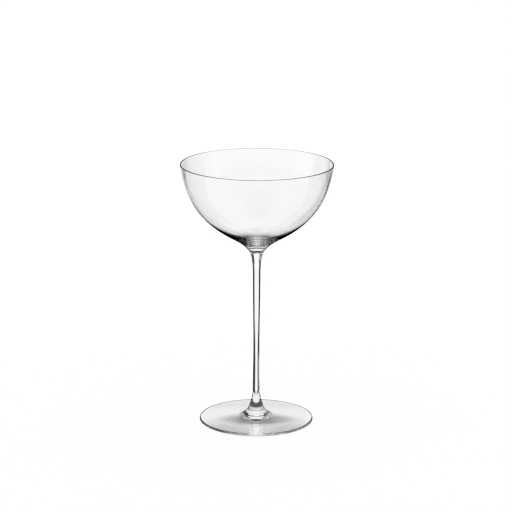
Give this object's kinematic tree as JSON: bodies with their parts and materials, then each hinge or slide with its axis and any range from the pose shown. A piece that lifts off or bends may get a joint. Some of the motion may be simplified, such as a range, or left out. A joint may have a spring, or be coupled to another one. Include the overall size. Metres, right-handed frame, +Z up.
{
  "type": "coupe cocktail glass",
  "caption": "Empty clear stemmed cocktail glass: thin wide round bowl with a polished rim, slim solid waisted stem and a thin round foot with a low hump.",
  "frame": {"origin": "centre of the foot's standing ring, on the surface that the glass stands on", "axes": "+Z up along the axis of the stem; X and Y are any two level directions, because the glass is round"},
  "size_m": [0.1, 0.1, 0.1735],
  "materials": {
    "clear_glass": "clear colourless glass, fire polished"
  },
  "bodies": {
    "root": {"bowl": "clear_glass", "stem": "clear_glass", "foot": "clear_glass"}
  },
  "joints": []
}
